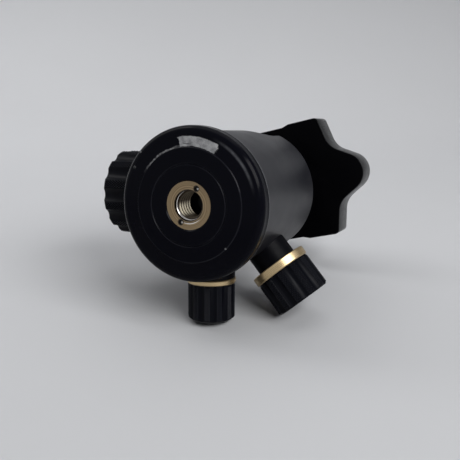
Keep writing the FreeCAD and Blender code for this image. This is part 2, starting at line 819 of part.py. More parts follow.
def side_relief(body):
    """A shallow waist with sloped ends along the middle of both long sides."""
    doc.recompute()
    sketch = new_sketch(body, "XY_Plane")
    end, foot = "relief_length / 2", "relief_length / 2 - relief_slope"
    edge, floor = "platform_width / 2", "platform_width / 2 - side_relief"
    for side in ("1", "-1"):
        draw_polygon(sketch, [(end, f"{side} * ({edge})"), (foot, f"{side} * ({floor})"),
                              (f"-1 * ({foot})", f"{side} * ({floor})"), (f"-1 * ({end})", f"{side} * ({edge})")])
    pocket = body.newObject("PartDesign::Pocket", body.Name + "_relief")
    pocket.Profile = sketch
    pocket.Type = "Length"
    bind(pocket, "Length", "platform_thickness")
    pocket.Reversed = True
    doc.recompute()


def make_platform():
    """The wavy plate: straight sides, sloped ends and a round tongue on each end."""
    body = new_body("platform")
    sketch = new_sketch(body, "XY_Plane")
    half = "platform_width / 2"
    quarter = [("corner_reach", half), ("neck_reach", "neck_half_width"), ("tongue_apex", "0")]
    right = quarter + [(x, f"-1 * ({y})") for x, y in reversed(quarter[:2])]
    left = [(f"-1 * {x}", y) for x, y in reversed(right)]
    draw_polygon(sketch, right + left)
    pad = body.newObject("PartDesign::Pad", "platform_pad")
    pad.Profile = sketch
    bind(pad, "Length", "platform_thickness")
    round_uprights(body, "corner_radius", [("corner_reach", half)])
    round_uprights(body, "neck_radius", [("neck_reach", "neck_half_width")])
    round_uprights(body, "tongue_radius", [("tongue_apex", "0")])
    side_relief(body)
    pad_room(body, "SubtractiveBox", "pad_gap", "platform_thickness - pad_sink", f"pad_sink + {OVERRUN}")
    cylinder(body, "SubtractiveCylinder", "stud_flange_room", "stud_flange_radius + sleeve_gap",
             f"stud_flange_thickness + pad_sink + {OVERRUN}",
             "platform_thickness - pad_sink - stud_flange_thickness")
    cylinder(body, "SubtractiveCylinder", "stud_bore", "stud_body_radius + sleeve_gap",
             f"platform_thickness + 2 * {OVERRUN}", f"-1 * {OVERRUN}")
    doc.recompute()
    seat_on_stem(body)


def make_pad():
    body = new_body("rubber_pad")
    bottom = "platform_thickness - pad_sink + face_gap"
    pad_room(body, "AdditiveBox", "0", bottom, "pad_thickness")
    cylinder(body, "SubtractiveCylinder", "stud_window", "stud_radius + pad_window",
             f"pad_thickness + 2 * {OVERRUN}", f"{bottom} - {OVERRUN}")
    doc.recompute()
    seat_on_stem(body)


def make_stud():
    foot = "ball_top + ball_gap + stem_floor + stud_bottom_gap"
    top = "pad_seat - face_gap"
    end = "pad_seat + pad_thickness + stud_length"
    turned("camera_stud", [
        ("0", foot),
        ("stud_body_radius", foot),
        ("stud_body_radius", "pad_seat - stud_flange_thickness"),
        ("stud_flange_radius", "pad_seat - stud_flange_thickness"),
        ("stud_flange_radius", top),
        ("stud_radius", top),
        ("stud_radius", end + " - stud_chamfer"),
        ("stud_radius - stud_chamfer", end),
        ("0", end),
    ])
    turned("platform_washer", [
        ("stud_body_radius + pad_gap", "platform_bottom - platform_washer_thickness"),
        ("stem_head_radius - washer_edge", "platform_bottom - platform_washer_thickness"),
        ("stem_head_radius - washer_edge", "platform_bottom - face_gap"),
        ("stud_body_radius + pad_gap", "platform_bottom - face_gap"),
    ])


def check_and_write():
    """Stops at a failed object or an unsound sub-part, then writes one STEP file per sub-part."""
    doc.recompute()
    for thing in doc.Objects:
        if "Invalid" in thing.State or "Error" in thing.State:
            raise RuntimeError(f"{thing.Label} failed: {thing.State}")
    os.makedirs("parts", exist_ok=True)
    for piece in pieces:
        shape = piece.Shape
        if shape.isNull() or not shape.isValid() or not shape.Solids:
            raise RuntimeError(f"{piece.Label} has no sound solid")
        shape.exportStep(f"parts/{piece.Label}.step")
        print(piece.Label, len(shape.Solids), round(shape.Volume, 1))


make_base_plate()
make_thread_insert()
make_pan_bearing()
make_housing()
make_ball_seats()
make_pan_lock()
make_main_lock()
make_friction_lock()
make_ball()
make_stem()
make_platform()
make_pad()
make_stud()
check_and_write()
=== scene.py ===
"""Looks of a tripod ball head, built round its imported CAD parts.

Frame: metres, +Z along the pan axis from the tripod to the camera, origin at the centre of the
base's flat face, main lock knob along +X, pan lock knob along -Y. The head lies on its -Y side.
"""

from collections import namedtuple
import math

import bmesh
import bpy
from mathutils import Matrix, Vector


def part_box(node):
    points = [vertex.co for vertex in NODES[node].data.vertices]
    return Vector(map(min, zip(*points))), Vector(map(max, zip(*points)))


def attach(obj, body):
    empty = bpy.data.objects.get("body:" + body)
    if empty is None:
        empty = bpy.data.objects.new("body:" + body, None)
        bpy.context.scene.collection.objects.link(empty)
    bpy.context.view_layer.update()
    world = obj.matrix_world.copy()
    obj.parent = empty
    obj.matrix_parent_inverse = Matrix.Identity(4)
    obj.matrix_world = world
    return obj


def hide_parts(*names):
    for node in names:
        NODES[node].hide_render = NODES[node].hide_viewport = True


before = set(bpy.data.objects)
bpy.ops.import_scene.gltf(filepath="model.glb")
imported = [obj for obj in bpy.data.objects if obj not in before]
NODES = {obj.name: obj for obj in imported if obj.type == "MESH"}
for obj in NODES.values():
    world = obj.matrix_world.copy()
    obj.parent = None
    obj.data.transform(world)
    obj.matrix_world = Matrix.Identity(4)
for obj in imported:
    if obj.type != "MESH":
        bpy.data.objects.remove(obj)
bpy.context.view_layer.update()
MM = 0.001
MM_PER_INCH = 25.4

# Places of the three knobs: the direction round the pan axis in degrees, and the height of the knob's axis
PAN_KNOB = (-90.0, 17.1 * MM)
MAIN_KNOB = (0.0, 31.9 * MM)
FRICTION_KNOB = (230.06, 31.0 * MM)
PLATFORM_TURN = math.radians(-13.0)

# A grip: its CAD node, its own name, its body and its knob's place; the radius and width of its lands;
# where its diamonds start and end along the knob's axis; how wide, long and high a diamond is
Grip = namedtuple("Grip", "node name body place land_radius land_width start end across along height")
MAIN_GRIP = Grip("main_lock_knob", "main_grip", "main_knob", MAIN_KNOB, 15.45 * MM, 2.6 * MM,
                 30.0 * MM, 42.4 * MM, 0.85 * MM, 1.15 * MM, 0.32 * MM)
FRICTION_GRIP = Grip("friction_grip", "friction_grip_fluted", "friction_knob", FRICTION_KNOB, 9.95 * MM, 2.3 * MM,
                     32.5 * MM, 43.6 * MM, 0.75 * MM, 0.95 * MM, 0.26 * MM)
PAN_GRIP = Grip("pan_lock_grip", "pan_grip_fluted", "pan_knob", PAN_KNOB, 8.0 * MM, 1.8 * MM,
                28.1 * MM, 39.4 * MM, 0.6 * MM, 0.8 * MM, 0.2 * MM)
# How many lands a grip has, how deep a land's strip of diamonds sits in the grip, and how thick the strip is
LANDS = 12
LAND_SUNK = 0.02 * MM
STRIP_THICKNESS = 0.25 * MM

# Half widths of a thread ridge's foot and crest, as shares of its pitch, and the steps in one of its turns
THREAD_FOOT, THREAD_CREST = 0.34, 0.06
THREAD_STEPS = 48

# Ribs on the rubber pad: the rows on each side of the middle one, their spacing, width and height, how far they
# reach from the middle of the pad, and the radius that they leave clear round the camera screw
RIB_ROWS = 11
RIB_SPACING = 1.9 * MM
RIB_WIDTH, RIB_HEIGHT = 1.0 * MM, 0.7 * MM
RIB_END = 22.0 * MM
SCREW_CLEARANCE = 6.4 * MM

MERGE_DISTANCE = 1e-6


# Modelling helpers

def lying(place):
    """The matrix that lays a piece made upright along a knob's axis."""
    angle, height = place
    return (Matrix.Translation((0, 0, height)) @ Matrix.Rotation(math.radians(angle), 4, "Z")
            @ Matrix.Rotation(math.pi / 2, 4, "Y"))


def from_axis(place):
    """Distance of a place from the Z axis."""
    return math.hypot(place.x, place.y)


def round_axis(degrees, away):
    """The X and Y of a point at an angle and a distance from the Z axis."""
    return away * math.cos(math.radians(degrees)), away * math.sin(math.radians(degrees))


def take(*pieces):
    """Selects these pieces only, and makes the first one active."""
    bpy.ops.object.select_all(action="DESELECT")
    for piece in pieces:
        piece.select_set(True)
    bpy.context.view_layer.objects.active = pieces[0]


def edit(piece, select="SELECT"):
    """Opens a piece in edit mode, with all of its vertices selected unless told otherwise."""
    take(piece)
    bpy.ops.object.mode_set(mode="EDIT")
    bpy.ops.mesh.select_mode(type="VERT")
    bpy.ops.mesh.select_all(action=select)


def leave_edit():
    """Goes back to object mode."""
    bpy.ops.object.mode_set(mode="OBJECT")


def choose(piece, rule):
    """Opens a piece in edit mode with the vertices that meet a rule selected."""
    edit(piece, "DESELECT")
    mesh = bmesh.from_edit_mesh(piece.data)
    for vertex in mesh.verts:
        if rule(vertex.co):
            vertex.select_set(True)
    mesh.select_flush_mode()
    bmesh.update_edit_mesh(piece.data)


def settle(piece):
    """Takes a piece's place, turn and scale into its mesh."""
    take(piece)
    bpy.ops.object.transform_apply(location=True, rotation=True, scale=True)


def place_by(piece, matrix):
    """Moves a piece by a matrix, which goes into its mesh."""
    piece.matrix_world = matrix
    settle(piece)


def named_primitive(name):
    """Names the primitive that was just added, and settles it."""
    piece = bpy.context.view_layer.objects.active
    piece.name = name
    piece.data.name = name
    settle(piece)
    return piece


def apply_modifier(piece, kind, **settings):
    """Adds a modifier with these settings, and applies it."""
    take(piece)
    modifier = piece.modifiers.new(kind.lower(), kind)
    for key, value in settings.items():
        setattr(modifier, key, value)
    bpy.ops.object.modifier_apply(modifier=modifier.name)


def round_edges(piece, width, segments, degrees, clamp=True):
    """Rounds the edges that bend by more than an angle."""
    apply_modifier(piece, "BEVEL", width=width, segments=segments, limit_method="ANGLE",
                   angle_limit=math.radians(degrees), use_clamp_overlap=clamp)


def join(first, *others):
    """Joins the other pieces into the first one."""
    take(first, *others)
    bpy.ops.object.join()


def smooth(piece, degrees):
    """Smooths the shading over edges that bend by less than an angle."""
    take(piece)
    bpy.ops.object.shade_smooth_by_angle(angle=math.radians(degrees))


def copy_of(node, name, whole_faces=True):
    """A merged copy of a CAD node, if wanted with its flat faces whole again."""
    piece = bpy.data.objects.new(name, NODES[node].data.copy())
    piece.data.name = name
    bpy.context.scene.collection.objects.link(piece)
    edit(piece)
    bpy.ops.mesh.remove_doubles(threshold=MERGE_DISTANCE)
    bpy.ops.mesh.customdata_custom_splitnormals_clear()
    if whole_faces:
        bpy.ops.mesh.dissolve_limited(angle_limit=math.radians(0.4))
    leave_edit()
    return piece


def draw_line(name, points):
    """A line of edges through (radius, height) points in the XZ plane, drawn by extruding a point."""
    radius, height = points[0]
    bpy.ops.mesh.primitive_plane_add(size=MM, location=(radius, 0, height))
    piece = named_primitive(name)
    edit(piece)
    bpy.ops.mesh.merge(type="CENTER")
    for (r0, z0), (r1, z1) in zip(points, points[1:]):
        bpy.ops.mesh.extrude_region_move(TRANSFORM_OT_translate={"value": (r1 - r0, 0, z1 - z0)})
    leave_edit()
    return piece


def helical_ridge(name, root, crest, pitch, low, turns):
    """A closed thread ridge wound round the Z axis, from the radius of its foot to that of its crest."""
    foot, flat = pitch * THREAD_FOOT, pitch * THREAD_CREST
    piece = draw_line(name, [(root, low - foot), (crest, low - flat), (crest, low + flat), (root, low + foot),
                             (root, low - foot)])
    edit(piece)
    bpy.ops.mesh.remove_doubles(threshold=MERGE_DISTANCE)
    leave_edit()
    apply_modifier(piece, "SCREW", angle=math.tau, screw_offset=pitch, iterations=turns, steps=THREAD_STEPS,
                   render_steps=THREAD_STEPS, axis="Z", use_merge_vertices=False)
    edit(piece)
    bpy.ops.mesh.remove_doubles(threshold=MERGE_DISTANCE)
    bpy.ops.mesh.fill_holes(sides=8)
    bpy.ops.mesh.normals_make_consistent(inside=False)
    leave_edit()
    return piece


def knurl_strip(name, width, length, across, along, height):
    """A flat strip of raised diamonds in the XY plane, length along Y."""
    just_past = 1.0001  # keeps the cuts off the grid's own points
    count = int(max(width / across, length / along)) + 3
    bpy.ops.mesh.primitive_grid_add(x_subdivisions=2 * count, y_subdivisions=2 * count, size=2 * count,
                                    rotation=(0, 0, math.pi / 4))
    strip = named_primitive(name)
    strip.scale = (across / math.sqrt(2), along / math.sqrt(2), 1)
    settle(strip)
    for side, reach in (((1, 0, 0), width / 2), ((0, 1, 0), length / 2)):
        for way in (1, -1):
            edit(strip)
            bpy.ops.mesh.bisect(plane_co=[way * c * reach * just_past for c in side],
                                plane_no=[way * c for c in side], clear_outer=True)
            leave_edit()
    edit(strip)
    bpy.ops.mesh.select_mode(type="FACE")
    bpy.ops.mesh.select_all(action="SELECT")
    bpy.ops.mesh.poke(offset=height, use_relative_offset=False)
    leave_edit()
    apply_modifier(strip, "SOLIDIFY", thickness=STRIP_THICKNESS, offset=-1)
    return strip


# Node helpers for the finishes and the world

# Sockets of a Mix node by the kind of its data: the first value, the second value and the result
MIX_SOCKETS = {"FLOAT": (2, 3, 0), "RGBA": (6, 7, 2)}


class Nodes:
    """A node tree that is put together from a few named steps."""

    def __init__(self, owner):
        owner.use_nodes = True
        self.tree = owner.node_tree

    def feed(self, socket, value):
        """Links a socket, or sets its value."""
        if isinstance(value, bpy.types.NodeSocket):
            self.tree.links.new(value, socket)
        else:
            socket.default_value = value

    def node(self, kind, inputs, **settings):
        """A new node with its settings, and its inputs fed by name or number."""
        made = self.tree.nodes.new(kind)
        for key, value in settings.items():
            setattr(made, key, value)
        for key, value in inputs.items():
            self.feed(made.inputs[key], value)
        return made

    def maths(self, operation, a, b=0.0, clamp=False):
        """The result of an operation on one or two numbers."""
        return self.node("ShaderNodeMath", {0: a, 1: b}, operation=operation, use_clamp=clamp).outputs[0]

    def remap(self, value, from_low, from_high, to_low=0.0, to_high=1.0):
        """Carries a range of a value over to another range, and stops at its ends."""
        return self.node("ShaderNodeMapRange", {"Value": value, "From Min": from_low, "From Max": from_high,
                                                "To Min": to_low, "To Max": to_high}).outputs[0]

    def blend(self, kind, share, first, second):
        """The first of two values where the share is 0, and the second where it is 1."""
        at_first, at_second, at_result = MIX_SOCKETS[kind]
        made = self.node("ShaderNodeMix", {0: share, at_first: first, at_second: second}, data_type=kind)
        return made.outputs[at_result]

    def blend_colour(self, share, first, second):
        return self.blend("RGBA", share, first, second)

    def blend_number(self, share, first, second):
        return self.blend("FLOAT", share, first, second)


class Finish(Nodes):
    """A material whose steps read the place on its piece. For a knob, that place is turned so that Z is its axis."""

    def __init__(self, name, knob=None):
        self.material = bpy.data.materials.new(name)
        super().__init__(self.material)
        self.shader = self.tree.nodes["Principled BSDF"]
        self.place = self.node("ShaderNodeTexCoord", {}).outputs["Object"]
        if knob is not None:
            angle, height = knob
            self.place = self.node("ShaderNodeMapping", {
                "Location": (0, 0, height), "Rotation": (0, math.pi / 2, math.radians(angle)),
                "Vector": self.place}, vector_type="TEXTURE").outputs["Vector"]

    def axes(self):
        """The X, Y and Z of the place."""
        return self.node("ShaderNodeSeparateXYZ", {0: self.place}).outputs

    def length(self, x, y):
        """How long a step of x and y is."""
        return self.maths("SQRT", self.maths("ADD", self.maths("MULTIPLY", x, x), self.maths("MULTIPLY", y, y)))

    def reach(self):
        """Distance from the Z axis."""
        x, y, _ = self.axes()
        return self.length(x, y)

    def turn_angle(self):
        """Angle round the Z axis, in radians from +X."""
        x, y, _ = self.axes()
        return self.maths("ARCTAN2", y, x)

    def band(self, value, low, high, soft):
        """1 between low and high, with soft edges of that width."""
        up, down = (self.node("ShaderNodeMapRange", {"Value": value, "From Min": start, "From Max": end},
                              interpolation_type="SMOOTHSTEP").outputs[0]
                    for start, end in ((low - soft, low + soft), (high + soft, high - soft)))
        return self.maths("MULTIPLY", up, down)

    def mark(self, reach, angle, reach_band, angle_band):
        """1 on a part of a ring: within a band of the distance from the axis and one of the angle round it."""
        return self.maths("MULTIPLY", self.band(reach, *reach_band), self.band(angle, *angle_band))

    def spot(self, x_centre, y_centre, radius):
        """1 inside a small round spot in the XY plane."""
        x, y, _ = self.axes()
        away = self.length(self.maths("SUBTRACT", x, x_centre), self.maths("SUBTRACT", y, y_centre))
        return self.remap(away, radius * 1.15, radius * 0.85)

    def noise(self, per_metre, detail=3.0, stretch=(1, 1, 1), roughness=0.5, seed=0.0):
        """Noise with that many cells to the metre, drawn out along some axes."""
        mapped = self.node("ShaderNodeMapping", {"Scale": stretch, "Location": (seed, 0, 0), "Vector": self.place})
        return self.node("ShaderNodeTexNoise", {"Vector": mapped.outputs[0], "Scale": per_metre, "Detail": detail,
                                                "Roughness": roughness}).outputs["Fac"]

    def ring_noise(self, reach, per_metre, detail=3.0):
        """Noise in rings round the Z axis, like the lines that a lathe leaves."""
        return self.node("ShaderNodeTexNoise", {"W": self.maths("MULTIPLY", reach, per_metre), "Scale": 1.0,
                                                "Detail": detail}, noise_dimensions="1D").outputs["Fac"]

    def relief(self, height, depth, strength, under=None):
        """Bump from a height of 0 to 1 and its real depth, on top of the relief under it."""
        made = self.node("ShaderNodeBump", {"Strength": strength, "Distance": depth, "Height": height})
        if under is not None:
            self.feed(made.inputs["Normal"], under)
        return made.outputs[0]

    def dress(self, colour, roughness, metallic, normal=None, specular=0.5):
        """Feeds the shader, and returns the finished material."""
        for name, value in (("Base Color", colour), ("Roughness", roughness), ("Metallic", metallic),
                            ("Normal", normal), ("Specular IOR Level", specular)):
            if value is not None:
                self.feed(self.shader.inputs[name], value)
        return self.material


def shade(value):
    """A grey as a colour."""
    return (value, value, value, 1.0)


# Finishes

# Marks on the base's enamel: a worn patch, painted highlights and a painted reflection. A band is (low, high,
# softness), of the distance from the axis or of the angle round it.
WORN_PATCH = ((18.3 * MM, 21.3 * MM, 0.1 * MM), (1.40, 2.07, 0.006))
# A painted highlight along the outer ring's edge, drawn as speckled bare metal
OUTER_RING_HIGHLIGHT = ((18.1 * MM, 18.6 * MM, 0.14 * MM), (0.66, 1.42, 0.12))
# A painted reflection of a lamp, streaked along the shoulder
SHOULDER_REFLECTION = ((21.8 * MM, 22.4 * MM, 0.45 * MM), (2.15, 2.75, 0.24))
# Painted highlights along the edges of the two rings
RING_EDGE_HIGHLIGHTS = ((12.5 * MM, 13.2 * MM, 0.15 * MM), (17.8 * MM, 18.15 * MM, 0.15 * MM))
# A painted highlight along the back edge, as a band of the height
BACK_EDGE_HIGHLIGHT = (6.0 * MM, 6.6 * MM, 0.06 * MM)
# Chips in the enamel: the angle in degrees, the distance from the axis and the radius
CHIPS = ((30.2, 22.4 * MM, 0.5 * MM), (43.0, 23.6 * MM, 0.38 * MM), (-135.8, 17.97 * MM, 0.3 * MM))

# Where the painted highlight on the base's back edge starts, and the height over which its side turns dull
BACK_EDGE_START = (24.0 * MM, 24.2 * MM)
SIDE_DULLS = (3.2 * MM, 5.2 * MM)

# The thread insert's face: painted shade at the edge of its mouth, a groove's painted shade and a painted highlight
# beside it round its mouth, and the two spanner holes, each by its angle in degrees and its distance from the axis,
# which get painted shade and a painted glint
MOUTH_EDGE = (4.96 * MM, 5.12 * MM, 0.05 * MM)
GROOVE_SHADE = ((5.30 * MM, 5.46 * MM, 0.06 * MM), (-2.75, -0.95, 0.2))
GROOVE_HIGHLIGHT = ((5.56 * MM, 5.78 * MM, 0.06 * MM), (-2.2, -1.35, 0.25))
SPANNER_HOLES = ((117.0, 6.0 * MM), (297.0, 6.0 * MM))
# Its bore, painted dark as shade, and the depth at which that starts; the painted highlight on the wall of its mouth,
# by depth and by distance from the axis; the crests of its thread, with painted highlights on one side of the bore,
# by distance from the axis and by angle
BORE = (-1 * MM, 4.98 * MM, 0.04 * MM)
BORE_START = (0.45 * MM, 0.7 * MM)
MOUTH_WALL = (1.45 * MM, 2.3 * MM, 0.2 * MM)
MOUTH_REACH = (4.5 * MM, 4.6 * MM)
CREST_REACH = (4.14 * MM, 4.46 * MM)
CREST_HIGHLIGHT_SIDE = (-0.85, -0.02, 0.28)


def bare_metal_and_highlight(f, reach, angle):
    """How bare the enamel is: a patch with a ragged edge and three chips, and a painted highlight along the outer
    ring's edge, speckled like bare metal, which runs on from the patch.
    """
    ragged = f.maths("SUBTRACT", f.noise(420, detail=5, roughness=0.65), 0.5)
    ragged_reach = f.maths("ADD", reach, f.maths("MULTIPLY", ragged, 0.9 * MM))
    ragged_angle = f.maths("ADD", angle, f.maths("MULTIPLY", ragged, 0.22))
    scratches = f.remap(f.noise(900, stretch=(0.22, 1, 1), seed=3.0), 0.30, 0.38)
    patch = f.maths("MULTIPLY", f.mark(ragged_reach, ragged_angle, *WORN_PATCH), scratches, clamp=True)
    speckles = f.remap(f.noise(1100, detail=4), 0.35, 0.6, 0.2, 0.75)
    # Painted highlight along the outer ring's edge, speckled like bare metal
    outer_ring_highlight = f.maths("MULTIPLY", f.mark(ragged_reach, angle, *OUTER_RING_HIGHLIGHT), speckles)
    bare_and_highlight = f.maths("ADD", patch, outer_ring_highlight, clamp=True)
    broken = f.remap(f.noise(2400), 0.43, 0.52, 0.0, 0.6)
    for degrees, away, radius in CHIPS:
        chip = f.maths("MULTIPLY", f.spot(*round_axis(degrees, away), radius), broken)
        bare_and_highlight = f.maths("ADD", bare_and_highlight, chip, clamp=True)
    return bare_and_highlight


def enamel_with_painted_highlights(f, reach, angle, up):
    """Nearly black, with a painted reflection streaked along the shoulder and painted highlights along the edges of
    the rings and the back edge.
    """
    paint = f.blend_colour(f.noise(60), (0.0008, 0.0009, 0.0030, 1), (0.0014, 0.0015, 0.0040, 1))
    # Painted reflection: a mottled streak on the shoulder
    shoulder_reflection = f.maths("MULTIPLY", f.mark(reach, angle, *SHOULDER_REFLECTION),
                     f.remap(f.noise(800, detail=4), 0.3, 0.6, 0.55, 1.0))
    paint = f.blend_colour(shoulder_reflection, paint, (0.115, 0.118, 0.130, 1))
    # Painted highlights along the edges of the rings
    ring_highlights = f.maths("MAXIMUM", *(f.band(reach, *ring) for ring in RING_EDGE_HIGHLIGHTS))
    ring_highlights = f.maths("MULTIPLY", ring_highlights, f.remap(f.noise(90), 0.3, 0.7, 0.35, 0.8))
    paint = f.blend_colour(ring_highlights, paint, (0.018, 0.0185, 0.024, 1))
    # Painted highlight along the back edge
    back_edge_highlight = f.maths("MULTIPLY", f.band(up, *BACK_EDGE_HIGHLIGHT), f.remap(reach, *BACK_EDGE_START))
    return f.blend_colour(back_edge_highlight, paint, (0.26, 0.263, 0.27, 1))


def gloss_black_paint():
    """Thick glossy enamel on the base, worn to bare metal along part of the shoulder and duller up its side, with
    painted highlights and a painted reflection on its shoulder, rings and back edge.
    """
    f = Finish("base_enamel")
    reach, angle, (_, _, up) = f.reach(), f.turn_angle(), f.axes()
    # Bare metal of the worn patch and the chips, and the painted highlight along the outer ring's edge
    bare_and_highlight = bare_metal_and_highlight(f, reach, angle)
    metal = f.blend_colour(f.remap(f.noise(450, detail=6, roughness=0.65), 0.35, 0.65),
                           (0.20, 0.20, 0.205, 1), (0.46, 0.46, 0.46, 1))
    colour = f.blend_colour(bare_and_highlight, enamel_with_painted_highlights(f, reach, angle, up), metal)
    roughness = f.blend_number(bare_and_highlight, f.remap(f.noise(300, detail=6), 0.3, 0.7, 0.12, 0.22), 0.45)
    roughness = f.blend_number(f.remap(up, *SIDE_DULLS), roughness, 0.5)
    normal = f.relief(f.maths("SUBTRACT", 1.0, bare_and_highlight), 0.05 * MM, 0.5, f.relief(f.noise(900), 0.004 * MM, 0.6))
    return f.dress(colour, roughness, f.maths("MULTIPLY", bare_and_highlight, 0.4), normal, specular=0.06)


def satin_black():
    """Fine blasted and anodised black, faintly clouded and stained by use."""
    f = Finish("body_satin")
    cloud = f.noise(70)
    stain = f.remap(f.noise(160, detail=5, stretch=(1, 1, 0.3)), 0.55, 0.75)
    colour = f.blend_colour(cloud, (0.0055, 0.0058, 0.0085, 1), (0.0105, 0.0108, 0.0145, 1))
    colour = f.blend_colour(stain, colour, (0.015, 0.015, 0.018, 1))
    grain = f.relief(f.noise(9000, detail=2), 0.012 * MM, 0.4)
    return f.dress(colour, f.remap(cloud, 0.3, 0.7, 0.33, 0.43), 0.0, grain, specular=0.39)


def boss_black():
    """Deeper, duller black on the three turned bosses."""
    f = Finish("boss_dark")
    lines = f.noise(900, detail=4)
    colour = f.blend_colour(lines, (0.0008, 0.0008, 0.0018, 1), (0.0018, 0.0018, 0.0030, 1))
    return f.dress(colour, f.remap(lines, 0.3, 0.7, 0.36, 0.46), 0.0, f.relief(lines, 0.01 * MM, 0.4), specular=0.06)


def platform_black():
    """Smooth deep black on the platform."""
    f = Finish("platform_gloss")
    colour = f.blend_colour(f.noise(90), (0.0010, 0.0010, 0.0014, 1), (0.0022, 0.0022, 0.0028, 1))
    roughness = f.remap(f.noise(500, detail=4), 0.3, 0.7, 0.26, 0.36)
    grain = f.relief(f.noise(6000, detail=2), 0.008 * MM, 0.4)
    return f.dress(colour, roughness, 0.0, grain, specular=0.22)


def underside_shade_black():
    """The platform's flat underside: a deeper black as painted shade, with very little shine."""
    f = Finish("platform_underside")
    cloud = f.noise(120)
    colour = f.blend_colour(cloud, (0.0003, 0.0003, 0.0007, 1), (0.0007, 0.0007, 0.0012, 1))
    grain = f.relief(f.noise(6000, detail=2), 0.008 * MM, 0.4)
    return f.dress(colour, f.remap(cloud, 0.3, 0.7, 0.42, 0.55), 0.0, grain, specular=0.03)


def knob_black(name, grip):
    """Black anodising, a little rubbed on the points of the diamonds."""
    f = Finish(name, grip.place)
    points = f.remap(f.reach(), grip.land_radius - 0.22 * MM, grip.land_radius - 0.02 * MM)
    colour = f.blend_colour(f.noise(200), (0.0009, 0.0011, 0.0028, 1), (0.0019, 0.0022, 0.0044, 1))
    colour = f.blend_colour(points, colour, (0.022, 0.023, 0.029, 1))
    lines = f.relief(f.noise(70, detail=4, stretch=(1, 1, 60), roughness=0.7), 0.012 * MM, 0.4)
    grain = f.relief(f.noise(5000, detail=2), 0.01 * MM, 0.4, lines)
    return f.dress(colour, f.remap(f.noise(300), 0.3, 0.7, 0.30, 0.42), 0.0, grain, specular=0.07)


def gold(name, place):
    """Gold anodised aluminium with fine turning lines."""
    f = Finish(name, place)
    lines = f.noise(60, detail=5, stretch=(1, 1, 160), roughness=0.7)
    colour = f.blend_colour(f.noise(150), (0.53, 0.395, 0.215, 1), (0.61, 0.475, 0.275, 1))
    colour = f.blend_colour(f.remap(lines, 0.35, 0.5, 0.5, 0.0), colour, (0.20, 0.14, 0.07, 1))
    return f.dress(colour, f.remap(lines, 0.3, 0.7, 0.24, 0.38), 0.9, f.relief(lines, 0.02 * MM, 0.5))


def brass_face(f, reach, angle, lines):
    """The insert's dull turned face, with painted shade at the edge of its mouth, a groove's painted shade on part of
    the ring round its mouth with a painted highlight beside it, and painted shade and a painted glint in each of its
    two spanner holes.
    """
    # A groove's painted shade on part of the ring round the mouth, and a painted highlight beside it
    groove_shade, groove_highlight = f.mark(reach, angle, *GROOVE_SHADE), f.mark(reach, angle, *GROOVE_HIGHLIGHT)
    # Painted shade at the edge of the mouth
    mouth_edge_shade = f.maths("MULTIPLY", f.band(reach, *MOUTH_EDGE), 0.8)
    face = f.blend_colour(f.remap(lines, 0.35, 0.65), (0.205, 0.143, 0.076, 1), (0.33, 0.243, 0.137, 1))
    face = f.blend_colour(groove_highlight, face, (0.95, 0.92, 0.88, 1))
    face = f.blend_colour(f.maths("MAXIMUM", groove_shade, mouth_edge_shade), face, (0.05, 0.038, 0.026, 1))
    for degrees, away in SPANNER_HOLES:
        x, y = round_axis(degrees, away)
        # Painted shade in each spanner hole, and a painted glint in it
        face = f.blend_colour(f.spot(x, y, 1.0 * MM), face, (0.012, 0.009, 0.007, 1))
        face = f.blend_colour(f.spot(x - 0.1 * MM, y - 0.14 * MM, 0.32 * MM), face, (1.0, 0.97, 0.9, 1))
    return face


def brass():
    """The thread insert: its face, a painted highlight on the wall of its mouth, and painted shade in its bore, with
    painted highlights on the thread's crests on one side.
    """
    f = Finish("insert_brass")
    reach, angle, (_, _, depth) = f.reach(), f.turn_angle(), f.axes()
    inside = f.maths("MULTIPLY", f.band(reach, *BORE), f.remap(depth, *BORE_START))
    lines = f.ring_noise(reach, 2600.0)
    crest = f.remap(reach, *CREST_REACH, 1.0, 0.0)
    # Painted highlights on the thread's crests, on one side of the bore only
    crest_highlight = f.maths("MULTIPLY", crest, f.remap(f.band(angle, *CREST_HIGHLIGHT_SIDE), 0.0, 1.0, 0.04, 1.0))
    # Painted shade in the bore, and the painted highlights on the crests
    bore = f.blend_colour(crest_highlight, (0.026, 0.019, 0.013, 1), (1.0, 0.88, 0.64, 1))
    # A painted highlight on the wall of the mouth
    mouth_highlight = f.maths("MULTIPLY", f.band(depth, *MOUTH_WALL), f.remap(reach, *MOUTH_REACH))
    bore = f.blend_colour(mouth_highlight, bore, (0.50, 0.47, 0.44, 1))
    colour = f.blend_colour(inside, brass_face(f, reach, angle, lines), bore)
    # The bore is fully metallic except where the crests carry painted highlights
    bore_without_highlight = f.maths("MULTIPLY", inside, f.maths("SUBTRACT", 1.0, f.maths("MULTIPLY", crest_highlight, 0.9)))
    return f.dress(colour, f.blend_number(inside, 0.46, 0.24), f.blend_number(bore_without_highlight, 0.45, 1.0),
                   f.relief(lines, 0.012 * MM, 0.35))


def steel(name, tone, roughness):
    """Turned steel with faint lines, as pale as its tone."""
    f = Finish(name)
    lines = f.noise(120, detail=4, stretch=(1, 1, 20))
    return f.dress(f.blend_colour(lines, shade(tone * 0.9), shade(tone)),
                   f.remap(lines, 0.3, 0.7, roughness - 0.06, roughness + 0.06), 1.0, f.relief(lines, 0.01 * MM, 0.3))


def plastic(name, tone, roughness):
    """Smooth moulded plastic, as pale as its tone."""
    f = Finish(name)
    return f.dress(f.blend_colour(f.noise(300), shade(tone * 0.92), shade(tone)),
                   f.remap(f.noise(500), 0.3, 0.7, roughness - 0.05, roughness + 0.05), 0.0,
                   f.relief(f.noise(1500), 0.01 * MM, 0.3))


def rubber():
    """Dull black rubber."""
    f = Finish("grip_rubber")
    return f.dress(f.blend_colour(f.noise(400), shade(0.012), shade(0.020)), 0.75, 0.0,
                   f.relief(f.noise(4000), 0.03 * MM, 0.5))


